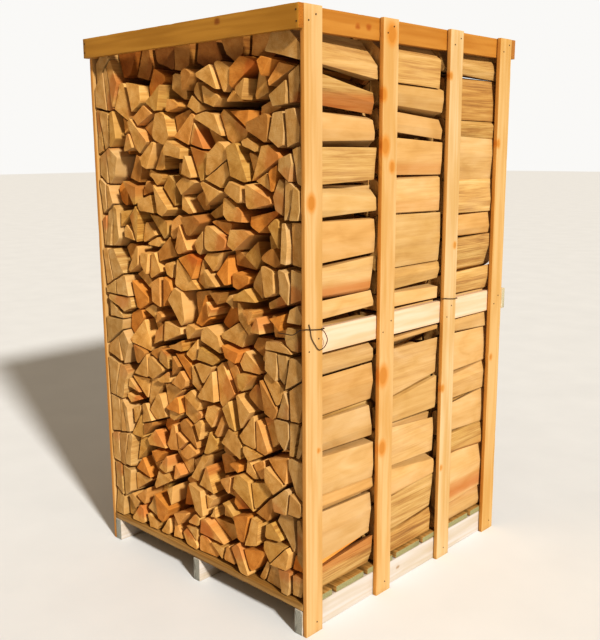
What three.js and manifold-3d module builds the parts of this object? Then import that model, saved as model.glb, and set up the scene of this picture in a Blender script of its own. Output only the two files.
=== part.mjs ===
// A tall slatted crate of split firewood on three bearers, in millimetres, +Z up.
// The cut ends of the logs face -Y and +Y, the slats stand on the -X and +X sides, and the origin
// is on the floor under the middle of the crate. Three rows of logs lie one behind the other along Y.
import * as THREE from "three";
import { mergeVertices } from "three/addons/utils/BufferGeometryUtils.js";
import Module from "manifold-3d";

const wasm = await Module();
wasm.setup();

// Driving dimensions of the crate
const HEIGHT = 2000;
const WIDTH = 1110; // over the slats of both sides
const DEPTH = 1165; // from the front edge of the first slat to the back edge of the last
const SLAT_WIDTH = 82;
const SLAT_THICKNESS = 18;
const SLAT_STARTS = [0, 370, 750, DEPTH - SLAT_WIDTH]; // from the crate's front edge
const BOARD_THICKNESS = 24; // boards and rails that join the slats
const TOP_BOARD_HEIGHT = 72;
const MIDDLE_RAIL_BOTTOM = 952;
const MIDDLE_RAIL_HEIGHT = 84;
const MIDDLE_RAIL_START = 45; // from the crate's front edge, behind the first slat
const BEARER_WIDTH = 38;
const BEARER_HEIGHT = 90;
const MIDDLE_BEARER_X = -12;
const DECK_BOARDS = 7;
const DECK_BOARD_WIDTH = 150;
const DECK_THICKNESS = 25;
const JOINT_GAP = 0.3; // between pieces that touch

// Driving dimensions of the firewood
const ROW_STARTS = [24, 386, 758]; // front ends of the three rows, from the crate's front edge
const LOG_LENGTH = 350;
const END_SPREAD = 22; // how far a log end stands before or behind its row
const EVEN_SPREAD = 13; // the same between these heights, where the ends were laid more evenly
const EVEN_LEAST_Z = 480;
const EVEN_MOST_Z = 1250;
const END_BIAS = 1.6; // above 1 more ends stand out than back
const EDGE_RECESS = -6; // the outermost logs of the pile stand out at least this far
const DEEP_SHARE = 0.1; // share of the logs that lie deeper in the pile
const DEEP_LEAST = 28;
const DEEP_MOST = 60;
const END_STEP = 6; // log ends stand apart by whole steps
const PILE_TOP = 1984;
const PILE_CLEARANCE = 2; // between the outermost logs and the slats
const COLUMNS = 9;
const LAYERS = 15;
const COLUMN_SHIFT = 0.2; // of a column's width, to the one side and then to the other
const SEED_JITTER = 0.36; // of a column's width or a layer's height
const SMALLEST_SPLIT = 5900; // mm2 of end face from which a piece may be split again
const LARGEST_SPLIT = 11200;
const SPLIT_TURN = 0.55; // radians by which a split may run away from square
const SIDE_SPLIT_TURN = 0.22;
const SPLIT_OFFSET = 0.1; // of the longest line across, by which a split may miss the middle
const SPLIT_SNAP = 7; // a split this near to a corner runs through it
const WEDGE_SHARE = 0.7; // share of the splits that start at a corner
const LARGE_WOOD_X = 120; // the stacker put larger wood right of and above this corner
const LARGE_WOOD_Z = 1250;
const LARGE_WOOD_FACTOR = 1.2;
const SIDE_RECESS = 8; // how far a side log may lie behind its neighbours
const SIDE_LEAN = 0.07; // slope of the outermost logs' outer faces
const TOP_RECESS_LEAST = 4; // how far the top course lies below the pile's top
const TOP_RECESS_MOST = 28;
const TOP_SLOPE = 0.2; // of the top course's upper faces
const TOP_SETBACK_LEAST = 12; // how far its ends lie behind the row's plane, under the top boards
const TOP_SETBACK_MOST = 48;
const VOID_SHARE = 0.07; // share of the logs with a corner missing
const LOST_LEAST = 0.25; // how much of each edge beside it goes with the corner
const LOST_MOST = 0.45;
const SMALLEST_LOG = 1500; // mm2 of end face
const ROW_SEEDS = [3, 11, 23];
const LOG_OVERLAP = 0.7; // how far a log of a joined row reaches into its neighbours
const JOIN_TOLERANCE = 0.6; // smaller steps between joined logs are evened out

// Driving dimensions of the tie wires
const WIRE_DIAMETER = 3;
const WIRE_SIDES = 6;
const WIRE_STEP = 6; // length of the wire between two of its sections
const WIRE_CLEARANCE = 2; // between the wire and the slat it bends round
const WIRE_ROOM = WIRE_DIAMETER + 3; // free height above the middle rails, where the wires pass
const WIRE_INSET = 3; // how far the wires reach in over the middle rail

const FRONT = -DEPTH / 2;
const BACK = DEPTH / 2;
const INNER_X = WIDTH / 2 - SLAT_THICKNESS; // inner faces of the slats
const TOP_BOARD_BOTTOM = HEIGHT - TOP_BOARD_HEIGHT;
const MIDDLE_RAIL_TOP = MIDDLE_RAIL_BOTTOM + MIDDLE_RAIL_HEIGHT;
const RAIL_INNER_X = INNER_X - JOINT_GAP - BOARD_THICKNESS;
const DECK_BOTTOM = BEARER_HEIGHT + JOINT_GAP;
const PILE_BOTTOM = DECK_BOTTOM + DECK_THICKNESS + JOINT_GAP + LOG_OVERLAP;
const PILE_HALF_WIDTH = INNER_X - PILE_CLEARANCE;
const WIRE_AWAY = WIRE_DIAMETER / 2 + WIRE_CLEARANCE; // from a slat's face to the wire's middle
const WIRE_FACE = WIDTH / 2 + WIRE_AWAY;

const materials = {
  slat: new THREE.MeshStandardMaterial({ color: 0xe8ae63, roughness: 0.7 }),
  board: new THREE.MeshStandardMaterial({ color: 0xc98a3c, roughness: 0.7 }),
  pale: new THREE.MeshStandardMaterial({ color: 0xeadfc0, roughness: 0.75 }),
  deck: new THREE.MeshStandardMaterial({ color: 0xa87a3e, roughness: 0.8 }),
  log: new THREE.MeshStandardMaterial({ color: 0xd0a35c, roughness: 0.85 }),
  wire: new THREE.MeshStandardMaterial({ color: 0x4a3c33, roughness: 0.5, metalness: 0.8 }),
};

const crate = new THREE.Group();

function place(name, geometry, material) {
  const mesh = new THREE.Mesh(geometry, material);
  mesh.name = name;
  crate.add(mesh);
  return mesh;
}

// A straight plank between two opposite corners
function plank(name, low, high, material) {
  const size = new THREE.Vector3().subVectors(high, low);
  const mesh = place(name, new THREE.BoxGeometry(size.x, size.y, size.z), material);
  mesh.position.addVectors(low, high).multiplyScalar(0.5);
}

function point(x, y, z) {
  return new THREE.Vector3(x, y, z);
}

// Pallet: three bearers from front to back, and the deck boards across them
function makePallet() {
  const outer = INNER_X - JOINT_GAP;
  const starts = {
    left: -outer,
    middle: MIDDLE_BEARER_X - BEARER_WIDTH / 2,
    right: outer - BEARER_WIDTH,
  };
  for (const [name, start] of Object.entries(starts)) {
    const low = point(start, FRONT, 0);
    plank(`bearer_${name}`, low, point(start + BEARER_WIDTH, BACK, BEARER_HEIGHT), materials.pale);
  }
  const pitch = (DEPTH - DECK_BOARD_WIDTH) / (DECK_BOARDS - 1);
  for (let index = 0; index < DECK_BOARDS; index++) {
    const start = FRONT + index * pitch;
    const low = point(-outer, start, DECK_BOTTOM);
    const high = point(outer, start + DECK_BOARD_WIDTH, DECK_BOTTOM + DECK_THICKNESS);
    plank(`deck_board_${index + 1}`, low, high, materials.deck);
  }
}

// One slatted side, with its top rail and its middle rail against the inner faces of the slats
function makeSide(name, side) {
  const across = (a, b) => [Math.min(side * a, side * b), Math.max(side * a, side * b)];
  const [slatLow, slatHigh] = across(INNER_X, WIDTH / 2);
  SLAT_STARTS.forEach((start, index) => {
    const low = point(slatLow, FRONT + start, 0);
    const high = point(slatHigh, FRONT + start + SLAT_WIDTH, HEIGHT);
    plank(`slat_${name}_${index + 1}`, low, high, materials.slat);
  });
  const [railLow, railHigh] = across(RAIL_INNER_X, INNER_X - JOINT_GAP);
  plank(
    `top_rail_${name}`,
    point(railLow, FRONT, TOP_BOARD_BOTTOM),
    point(railHigh, BACK, HEIGHT),
    materials.board,
  );
  plank(
    `middle_rail_${name}`,
    point(railLow, FRONT + MIDDLE_RAIL_START, MIDDLE_RAIL_BOTTOM),
    point(railHigh, BACK, MIDDLE_RAIL_TOP),
    materials.pale,
  );
}

// Boards nailed across the narrow edges of the corner slats: one in front and two at the back
function makeCrossBoards() {
  const across = (name, near, bottom, top, material) => {
    const low = point(-WIDTH / 2, near, bottom);
    plank(name, low, point(WIDTH / 2, near + BOARD_THICKNESS, top), material);
  };
  const frontStart = FRONT - JOINT_GAP - BOARD_THICKNESS;
  const backStart = BACK + JOINT_GAP;
  across("top_board_front", frontStart, TOP_BOARD_BOTTOM, HEIGHT, materials.board);
  across("top_board_back", backStart, TOP_BOARD_BOTTOM, HEIGHT, materials.board);
  across("middle_board_back", backStart, MIDDLE_RAIL_BOTTOM, MIDDLE_RAIL_TOP, materials.pale);
}

// Repeatable random numbers, the same on every run
function randomSource(seed) {
  const modulus = 2147483647;
  const multiplier = 16807;
  let state = seed;
  return (low, high) => {
    state = (state * multiplier) % modulus;
    return low + ((high - low) * state) / modulus;
  };
}

// An outline is a list of corners of a convex face: x runs across the crate, y is the height.
// trim keeps what lies behind the line through a point, away from the line's normal. A corner
// nearer to the line than snap counts as on it.
function trim(outline, through, normal, snap = 0) {
  const unit = normal.clone().normalize();
  const sides = outline.map((corner) => {
    const side = corner.clone().sub(through).dot(unit);
    return Math.abs(side) < snap ? 0 : side;
  });
  const kept = [];
  outline.forEach((corner, index) => {
    const following = (index + 1) % outline.length;
    const here = sides[index];
    const there = sides[following];
    if (here <= 0) kept.push(corner);
    if (here * there < 0) kept.push(corner.clone().lerp(outline[following], here / (here - there)));
  });
  return kept;
}

function flat(x, y) {
  return new THREE.Vector2(x, y);
}

function centreOf(outline) {
  const sum = outline.reduce((total, corner) => total.add(corner), flat(0, 0));
  return sum.divideScalar(outline.length);
}

function areaOf(outline) {
  return outline.length < 3 ? 0 : THREE.ShapeUtils.area(outline);
}

// The longest line between two corners
function longestLine(outline) {
  let longest = flat(0, 0);
  for (const from of outline) {
    for (const to of outline) {
      const line = to.clone().sub(from);
      if (line.lengthSq() > longest.lengthSq()) longest = line;
    }
  }
  return longest;
}

// The corner that the line through a point passes closest to
function nearestCorner(outline, through, normal) {
  const distance = (corner) => Math.abs(corner.clone().sub(through).dot(normal));
  return outline.reduce((nearest, corner) => {
    return distance(corner) < distance(nearest) ? corner : nearest;
  });
}

// Round wood is split through the middle until each piece is small enough to burn, and many splits
// start at a corner and leave wedges. At the sides of the pile the splits stand upright, so that the
// outermost logs are as tall as they were.
function splitWood(outline, limit, atSide, random) {
  if (areaOf(outline) < limit) return [outline];
  const line = longestLine(outline);
  const direction = atSide ? flat(1, 0) : line.clone().normalize();
  const turn = atSide ? SIDE_SPLIT_TURN : SPLIT_TURN;
  const turned = direction.rotateAround(flat(0, 0), random(-turn, turn));
  const offset = random(-SPLIT_OFFSET, SPLIT_OFFSET);
  const through = centreOf(outline).addScaledVector(line, offset);
  if (!atSide && random(0, 1) < WEDGE_SHARE) {
    const along = nearestCorner(outline, through, turned).clone().sub(through);
    turned.set(along.y, -along.x);
  }
  const halves = [turned, turned.clone().negate()].map((normal) => {
    return trim(outline, through, normal, SPLIT_SNAP);
  });
  return halves.flatMap((half) => splitWood(half, splitLimit(half, random), atSide, random));
}

function splitLimit(outline, random) {
  const centre = centreOf(outline);
  const large = centre.x > LARGE_WOOD_X && centre.y > LARGE_WOOD_Z;
  return random(SMALLEST_SPLIT, LARGEST_SPLIT) * (large ? LARGE_WOOD_FACTOR : 1);
}

// A corner that is missing from a log leaves a hole in the pile
function loseCorner(outline, random) {
  const index = Math.floor(random(0, outline.length));
  const corner = outline[index];
  const before = outline[(index + outline.length - 1) % outline.length];
  const after = outline[(index + 1) % outline.length];
  const from = corner.clone().lerp(before, random(LOST_LEAST, LOST_MOST));
  const to = corner.clone().lerp(after, random(LOST_LEAST, LOST_MOST));
  const along = to.clone().sub(from);
  return trim(outline, from, flat(along.y, -along.x));
}

// The outermost logs lie against the slats, and behind the middle rail where it is in their way
function fitToSide(outline, side, random) {
  const face = PILE_HALF_WIDTH - random(0, SIDE_RECESS);
  const outward = flat(side, random(-SIDE_LEAN, SIDE_LEAN));
  const leaning = trim(outline, flat(side * face, centreOf(outline).y), outward);
  const below = MIDDLE_RAIL_BOTTOM - PILE_CLEARANCE;
  const above = MIDDLE_RAIL_TOP + WIRE_ROOM;
  const behind = RAIL_INNER_X - PILE_CLEARANCE;
  const up = flat(0, 1);
  const down = flat(0, -1);
  const level = trim(trim(leaning, flat(0, below), down), flat(0, above), up);
  return [
    trim(leaning, flat(0, below), up),
    trim(level, flat(side * behind, 0), flat(side, 0)),
    trim(leaning, flat(0, above), down),
  ];
}

// How far the end of a log lies behind the plane of its row
function endRecess(height, centre, random) {
  const isSetBack = centre.isTop && centre.side === 0;
  const isAtEdge = centre.isBottom || centre.isTop || centre.side !== 0;
  const isDeep = random(0, 1) < DEEP_SHARE && !isAtEdge;
  const isEven = height > EVEN_LEAST_Z && height < EVEN_MOST_Z;
  const spread = isEven ? EVEN_SPREAD : END_SPREAD;
  const least = isSetBack ? TOP_SETBACK_LEAST : -spread;
  const most = isSetBack ? TOP_SETBACK_MOST : isAtEdge ? EDGE_RECESS : spread;
  const ordinary = least + (most - least) * random(0, 1) ** END_BIAS;
  const recess = isDeep ? random(DEEP_LEAST, DEEP_MOST) : ordinary;
  return Math.round(recess / END_STEP) * END_STEP;
}

// The end faces of one row: cells around scattered centres, split into logs
function layRow(seed) {
  const random = randomSource(seed);
  const columnWidth = (2 * PILE_HALF_WIDTH) / COLUMNS;
  const layerHeight = (PILE_TOP - PILE_BOTTOM) / LAYERS;
  const centres = [];
  for (let layer = 0; layer < LAYERS; layer++) {
    const shift = layer % 2 ? COLUMN_SHIFT : -COLUMN_SHIFT;
    for (let column = 0; column < COLUMNS; column++) {
      const x = column + 0.5 + shift + random(-SEED_JITTER, SEED_JITTER);
      const y = layer + 0.5 + random(-SEED_JITTER, SEED_JITTER);
      centres.push({
        at: flat(x * columnWidth - PILE_HALF_WIDTH, y * layerHeight + PILE_BOTTOM),
        isTop: layer === LAYERS - 1,
        isBottom: layer === 0,
        side: column === 0 ? -1 : column === COLUMNS - 1 ? 1 : 0,
      });
    }
  }
  const pile = [
    flat(-PILE_HALF_WIDTH, PILE_BOTTOM),
    flat(PILE_HALF_WIDTH, PILE_BOTTOM),
    flat(PILE_HALF_WIDTH, PILE_TOP),
    flat(-PILE_HALF_WIDTH, PILE_TOP),
  ];
  const logs = [];
  for (const centre of centres) {
    let cell = pile;
    for (const other of centres) {
      if (other === centre) continue;
      const apart = other.at.clone().sub(centre.at);
      cell = trim(cell, centre.at.clone().addScaledVector(apart, 0.5), apart);
    }
    if (centre.isTop) {
      const sloping = flat(random(-TOP_SLOPE, TOP_SLOPE), 1);
      const recess = random(TOP_RECESS_LEAST, TOP_RECESS_MOST);
      cell = trim(cell, flat(centre.at.x, PILE_TOP - recess), sloping);
      for (const side of [-1, 1]) {
        const railCorner = flat(side * (RAIL_INNER_X - PILE_CLEARANCE), TOP_BOARD_BOTTOM);
        cell = trim(cell, railCorner, flat(side, 1));
      }
    }
    let pieces = [cell];
    if (centre.side !== 0) pieces = fitToSide(cell, centre.side, random);
    for (const piece of pieces) {
      if (areaOf(piece) < SMALLEST_LOG) continue;
      const limit = centre.isTop ? Infinity : splitLimit(piece, random);
      for (const part of splitWood(piece, limit, centre.side !== 0, random)) {
        if (areaOf(part) < SMALLEST_LOG) continue;
        const holed = random(0, 1) < VOID_SHARE && !centre.isTop;
        logs.push({
          outline: holed ? loseCorner(part, random) : part,
          isTop: centre.isTop,
          recess: endRecess(centreOf(part).y, centre, random),
        });
      }
    }
  }
  return logs;
}

// Moves the corners of an outline away from its centre, so that neighbouring logs overlap a little
// and can be joined in one solid
function grow(outline, distance) {
  const centre = centreOf(outline);
  return outline.map((corner) => {
    const outward = corner.clone().sub(centre).normalize();
    return corner.clone().addScaledVector(outward, distance);
  });
}

// Moves each edge of a convex outline inwards
function shrink(outline, distance) {
  let inner = outline;
  outline.forEach((from, index) => {
    const to = outline[(index + 1) % outline.length];
    const outward = flat(to.y - from.y, from.x - to.x).normalize();
    inner = trim(inner, from.clone().addScaledVector(outward, -distance), outward);
  });
  return inner;
}

// A straight log from one end plane to the other
function logGeometry(outline, start, end) {
  const geometry = new THREE.ExtrudeGeometry(new THREE.Shape(outline), {
    depth: end - start,
    bevelEnabled: false,
  });
  geometry.rotateX(Math.PI / 2); // the outline's second axis becomes the height
  geometry.translate(0, end, 0);
  return geometry;
}

function solidOf(geometry) {
  const bare = geometry.clone();
  bare.deleteAttribute("normal");
  bare.deleteAttribute("uv");
  const merged = mergeVertices(bare, 1e-3);
  return new wasm.Manifold(
    new wasm.Mesh({
      numProp: 3,
      vertProperties: merged.attributes.position.array,
      triVerts: new Uint32Array(merged.index.array),
    }),
  );
}

function geometryOf(solid) {
  const mesh = solid.getMesh();
  const geometry = new THREE.BufferGeometry();
  geometry.setAttribute("position", new THREE.BufferAttribute(mesh.vertProperties, 3));
  geometry.setIndex(new THREE.BufferAttribute(mesh.triVerts, 1));
  return geometry;
}

// One row: its lower logs joined in one solid, and each log of its top course a piece of its own
function makeRow(name, index) {
  const logs = layRow(ROW_SEEDS[index]);
  const start = FRONT + ROW_STARTS[index];
  const ends = (log) => [
    index === 0 ? start + log.recess : start,
    start + LOG_LENGTH - (index === ROW_STARTS.length - 1 ? log.recess : 0),
  ];
  const lower = logs.filter((log) => !log.isTop);
  const solids = lower.map((log) => {
    return solidOf(logGeometry(grow(log.outline, LOG_OVERLAP), ...ends(log)));
  });
  const joined = solids.reduce((whole, solid) => whole.add(solid)).asOriginal();
  place(`log_row_${name}`, geometryOf(joined.simplify(JOIN_TOLERANCE)), materials.log);
  logs
    .filter((log) => log.isTop)
    .forEach((log, number) => {
      const clear = shrink(log.outline, LOG_OVERLAP + JOINT_GAP);
      place(`top_log_${name}_${number + 1}`, logGeometry(clear, ...ends(log)), materials.log);
    });
}

// A wire is a round tube along a smooth line
function wireGeometry(route) {
  const path = new THREE.CatmullRomCurve3(route, false, "centripetal");
  const section = new THREE.Shape();
  section.absarc(0, 0, WIRE_DIAMETER / 2, 0, 2 * Math.PI);
  return new THREE.ExtrudeGeometry(section, {
    steps: Math.round(path.getLength() / WIRE_STEP),
    curveSegments: WIRE_SIDES / 2, // for half a turn
    extrudePath: path,
    bevelEnabled: false,
  });
}

// A tie wire bends round a slat of the right side and goes in over the middle rail behind it.
// It stands a little clear of the slat, and it falls from the front edge to the back edge.
function wireRound(slatStart, inward) {
  const near = FRONT + slatStart - WIRE_AWAY;
  const far = FRONT + slatStart + SLAT_WIDTH + WIRE_AWAY;
  const bend = 2;
  const low = MIDDLE_RAIL_TOP + WIRE_DIAMETER / 2 + 1;
  return [
    ...inward,
    point(INNER_X, near, low + 5),
    point(WIRE_FACE - bend, near, low + 9),
    point(WIRE_FACE, near + bend, low + 10),
    point(WIRE_FACE, near + 24, low + 6),
    point(WIRE_FACE, far - 14, low),
    point(WIRE_FACE, far - bend, low),
    point(WIRE_FACE - bend, far, low),
    point(INNER_X, far, low),
    point(RAIL_INNER_X + WIRE_INSET, far, low),
  ];
}

// The front wire comes across the log ends, and its twisted end hangs in a loop on the slat's face
function makeFrontWire() {
  const inFront = FRONT - WIRE_DIAMETER / 2 - 1;
  const acrossLogs = [
    point(INNER_X - 99, inFront, 1021),
    point(INNER_X - 67, inFront, 1022),
    point(INNER_X - 32, inFront, 1024),
  ];
  const loop = [
    point(WIRE_FACE, FRONT + 13, 1062),
    point(WIRE_FACE, FRONT + 19, 1044),
    point(WIRE_FACE, FRONT + 25, 1018),
    point(WIRE_FACE, FRONT + 42, 992),
    point(WIRE_FACE, FRONT + 60, 974),
    point(WIRE_FACE, FRONT + 84, 979),
    point(WIRE_FACE, FRONT + 98, 999),
    point(WIRE_FACE, FRONT + 87, 1024),
    point(WIRE_FACE, FRONT + 75, 1036),
    point(WIRE_FACE, FRONT + 70, 1041),
  ];
  const tied = solidOf(wireGeometry(wireRound(SLAT_STARTS[0], acrossLogs)));
  const twisted = tied.add(solidOf(wireGeometry(loop)));
  place("tie_wire_front", geometryOf(twisted), materials.wire);
}

function makeThirdSlatWire() {
  const near = FRONT + SLAT_STARTS[2] - WIRE_AWAY;
  const start = point(RAIL_INNER_X + WIRE_INSET, near, MIDDLE_RAIL_TOP + 5);
  const route = wireRound(SLAT_STARTS[2], [start]);
  place("tie_wire_third_slat", wireGeometry(route), materials.wire);
}

makePallet();
makeSide("left", -1);
makeSide("right", 1);
makeCrossBoards();
["front", "middle", "back"].forEach(makeRow);
makeFrontWire();
makeThirdSlatWire();

export default crate;
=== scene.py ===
# The looks of a tall slatted crate of split firewood on three bearers.
# Lengths are in millimetres until a mesh is made, and then in metres.
import math

import bpy
import numpy as np
from mathutils import Matrix, Vector


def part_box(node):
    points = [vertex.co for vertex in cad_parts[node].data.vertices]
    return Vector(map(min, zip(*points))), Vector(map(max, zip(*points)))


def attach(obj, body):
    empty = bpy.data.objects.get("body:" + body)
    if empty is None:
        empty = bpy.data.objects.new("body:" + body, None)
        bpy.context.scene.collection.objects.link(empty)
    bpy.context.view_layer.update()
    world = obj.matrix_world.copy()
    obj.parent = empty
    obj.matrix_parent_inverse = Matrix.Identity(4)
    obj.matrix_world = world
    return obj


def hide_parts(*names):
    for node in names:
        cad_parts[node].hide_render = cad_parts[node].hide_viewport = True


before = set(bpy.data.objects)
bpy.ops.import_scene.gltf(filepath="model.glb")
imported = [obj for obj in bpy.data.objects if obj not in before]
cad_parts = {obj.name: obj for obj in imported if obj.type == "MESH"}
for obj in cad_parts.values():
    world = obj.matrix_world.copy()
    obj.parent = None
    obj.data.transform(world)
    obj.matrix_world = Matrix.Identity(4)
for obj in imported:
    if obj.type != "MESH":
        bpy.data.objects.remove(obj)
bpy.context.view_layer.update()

MM = 0.001

# Driving dimensions of the crate
HEIGHT = 2000
WIDTH = 1110
DEPTH = 1165
SLAT_WIDTH = 82
SLAT_THICKNESS = 18
SLAT_STARTS = [0, 370, 750, DEPTH - SLAT_WIDTH]
BOARD_THICKNESS = 24
TOP_BOARD_HEIGHT = 72
MIDDLE_RAIL_BOTTOM = 952
MIDDLE_RAIL_HEIGHT = 84
BEARER_HEIGHT = 90
DECK_THICKNESS = 25
JOINT_GAP = 0.3

# Driving dimensions of the firewood, the same as those of the solids
ROW_STARTS = [24, 386, 758]
LOG_LENGTH = 350
END_SPREAD = 22
EVEN_SPREAD = 13
EVEN_LEAST_Z = 480
EVEN_MOST_Z = 1250
END_BIAS = 1.6
EDGE_RECESS = -6
DEEP_SHARE = 0.1
DEEP_RECESS = (28, 60)
END_STEP = 6
PILE_TOP = 1984
PILE_CLEARANCE = 2
COLUMNS = 9
LAYERS = 15
COLUMN_SHIFT = 0.2
SEED_JITTER = 0.36
SPLIT_AREA = (5900, 11200)
SPLIT_TURN = 0.55
SIDE_SPLIT_TURN = 0.22
SPLIT_OFFSET = 0.1
SPLIT_SNAP = 7
WEDGE_SHARE = 0.7
LARGE_WOOD_X = 120
LARGE_WOOD_Z = 1250
LARGE_WOOD_FACTOR = 1.2
SIDE_RECESS = 8
SIDE_LEAN = 0.07
TOP_RECESS = (4, 28)
TOP_SLOPE = 0.2
TOP_SETBACK = (12, 48)
VOID_SHARE = 0.07
LOST_SHARE = (0.25, 0.45)
SMALLEST_LOG = 1500
ROW_SEEDS = [3, 11, 23]
LOG_OVERLAP = 0.7

# Driving dimensions of the tie wires
WIRE_DIAMETER = 3
WIRE_CLEARANCE = 2
WIRE_ROOM = WIRE_DIAMETER + 3
WIRE_INSET = 3

FRONT = -DEPTH / 2
BACK = DEPTH / 2
INNER_X = WIDTH / 2 - SLAT_THICKNESS
TOP_BOARD_BOTTOM = HEIGHT - TOP_BOARD_HEIGHT
MIDDLE_RAIL_TOP = MIDDLE_RAIL_BOTTOM + MIDDLE_RAIL_HEIGHT
RAIL_INNER_X = INNER_X - JOINT_GAP - BOARD_THICKNESS
PILE_BOTTOM = BEARER_HEIGHT + JOINT_GAP + DECK_THICKNESS + JOINT_GAP + LOG_OVERLAP
PILE_HALF_WIDTH = INNER_X - PILE_CLEARANCE
WIRE_AWAY = WIRE_DIAMETER / 2 + WIRE_CLEARANCE
WIRE_FACE = WIDTH / 2 + WIRE_AWAY

# The photograph's camera
IMAGE_HEIGHT = 640
SENSOR = 36
FOCAL_PIXELS = 837.88
CAMERA_PLACE = (2279.34, -2413.74, 1581.97)
CAMERA_YAW = -43.64
CAMERA_PITCH = -11.33
CAMERA_ROLL = -0.32

ROWS = ["front", "middle", "back"]
SIDES = {"left": -1, "right": 1}


# Where each log lies, worked out as for the solids
def random_source(seed):
    modulus = 2147483647
    multiplier = 16807
    state = seed

    def draw(low, high):
        nonlocal state
        state = state * multiplier % modulus
        return low + (high - low) * state / modulus

    return draw


def trim(outline, through, normal, snap=0.0):
    length = math.hypot(*normal)
    sides = []
    for x, y in outline:
        side = ((x - through[0]) * normal[0] + (y - through[1]) * normal[1]) / length
        sides.append(0.0 if abs(side) < snap else side)
    kept = []
    for index, corner in enumerate(outline):
        following = (index + 1) % len(outline)
        here = sides[index]
        there = sides[following]
        if here <= 0:
            kept.append(corner)
        if here * there < 0:
            share = here / (here - there)
            after = outline[following]
            x = corner[0] + (after[0] - corner[0]) * share
            kept.append((x, corner[1] + (after[1] - corner[1]) * share))
    return kept


def centre_of(outline):
    count = max(len(outline), 1)
    return sum(x for x, _ in outline) / count, sum(y for _, y in outline) / count


def area_of(outline):
    total = 0.0
    for index, (x, y) in enumerate(outline):
        before_x, before_y = outline[index - 1]
        total += before_x * y - x * before_y
    return total / 2


def longest_line(outline):
    lines = [(end[0] - start[0], end[1] - start[1]) for start in outline for end in outline]
    return max(lines, key=lambda line: line[0] ** 2 + line[1] ** 2)


def split_limit(outline, random):
    x, y = centre_of(outline)
    large = x > LARGE_WOOD_X and y > LARGE_WOOD_Z
    return random(*SPLIT_AREA) * (LARGE_WOOD_FACTOR if large else 1)


def split_wood(outline, limit, at_side, random):
    if area_of(outline) < limit:
        return [outline]
    line = longest_line(outline)
    length = math.hypot(*line)
    direction = (1.0, 0.0) if at_side else (line[0] / length, line[1] / length)
    turn = SIDE_SPLIT_TURN if at_side else SPLIT_TURN
    angle = random(-turn, turn)
    across = direction[0] * math.cos(angle) - direction[1] * math.sin(angle)
    upward = direction[0] * math.sin(angle) + direction[1] * math.cos(angle)
    offset = random(-SPLIT_OFFSET, SPLIT_OFFSET)
    x, y = centre_of(outline)
    through = (x + line[0] * offset, y + line[1] * offset)
    if not at_side and random(0, 1) < WEDGE_SHARE:
        distances = [abs((a - through[0]) * across + (b - through[1]) * upward) for a, b in outline]
        corner = outline[distances.index(min(distances))]
        across = corner[1] - through[1]
        upward = through[0] - corner[0]
    logs = []
    for sign in (1, -1):
        half = trim(outline, through, (sign * across, sign * upward), SPLIT_SNAP)
        logs += split_wood(half, split_limit(half, random), at_side, random)
    return logs


def lose_corner(outline, random):
    index = math.floor(random(0, len(outline)))
    x, y = outline[index]
    ends = []
    for next_x, next_y in (outline[index - 1], outline[(index + 1) % len(outline)]):
        share = random(*LOST_SHARE)
        ends.append((x + (next_x - x) * share, y + (next_y - y) * share))
    start, end = ends
    return trim(outline, start, (end[1] - start[1], start[0] - end[0]))


def fit_to_side(outline, side, random):
    face = PILE_HALF_WIDTH - random(0, SIDE_RECESS)
    lean = random(-SIDE_LEAN, SIDE_LEAN)
    leaning = trim(outline, (side * face, centre_of(outline)[1]), (side, lean))
    below = MIDDLE_RAIL_BOTTOM - PILE_CLEARANCE
    above = MIDDLE_RAIL_TOP + WIRE_ROOM
    behind = RAIL_INNER_X - PILE_CLEARANCE
    level = trim(trim(leaning, (0, below), (0, -1)), (0, above), (0, 1))
    return [
        trim(leaning, (0, below), (0, 1)),
        trim(level, (side * behind, 0), (side, 0)),
        trim(leaning, (0, above), (0, -1)),
    ]


def end_recess(height, layer, side, random):
    is_set_back = layer == LAYERS - 1 and side == 0
    is_at_edge = layer in (0, LAYERS - 1) or side != 0
    is_deep = random(0, 1) < DEEP_SHARE and not is_at_edge
    spread = EVEN_SPREAD if EVEN_LEAST_Z < height < EVEN_MOST_Z else END_SPREAD
    least, most = TOP_SETBACK if is_set_back else (-spread, EDGE_RECESS if is_at_edge else spread)
    recess = least + (most - least) * random(0, 1) ** END_BIAS
    if is_deep:
        recess = random(*DEEP_RECESS)
    return math.floor(recess / END_STEP + 0.5) * END_STEP


def pile_centres(random):
    column_width = 2 * PILE_HALF_WIDTH / COLUMNS
    layer_height = (PILE_TOP - PILE_BOTTOM) / LAYERS
    centres = []
    for layer in range(LAYERS):
        shift = COLUMN_SHIFT if layer % 2 else -COLUMN_SHIFT
        for column in range(COLUMNS):
            x = column + 0.5 + shift + random(-SEED_JITTER, SEED_JITTER)
            y = layer + 0.5 + random(-SEED_JITTER, SEED_JITTER)
            at = (x * column_width - PILE_HALF_WIDTH, y * layer_height + PILE_BOTTOM)
            side = {0: -1, COLUMNS - 1: 1}.get(column, 0)
            centres.append((at, layer, side))
    return centres


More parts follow.
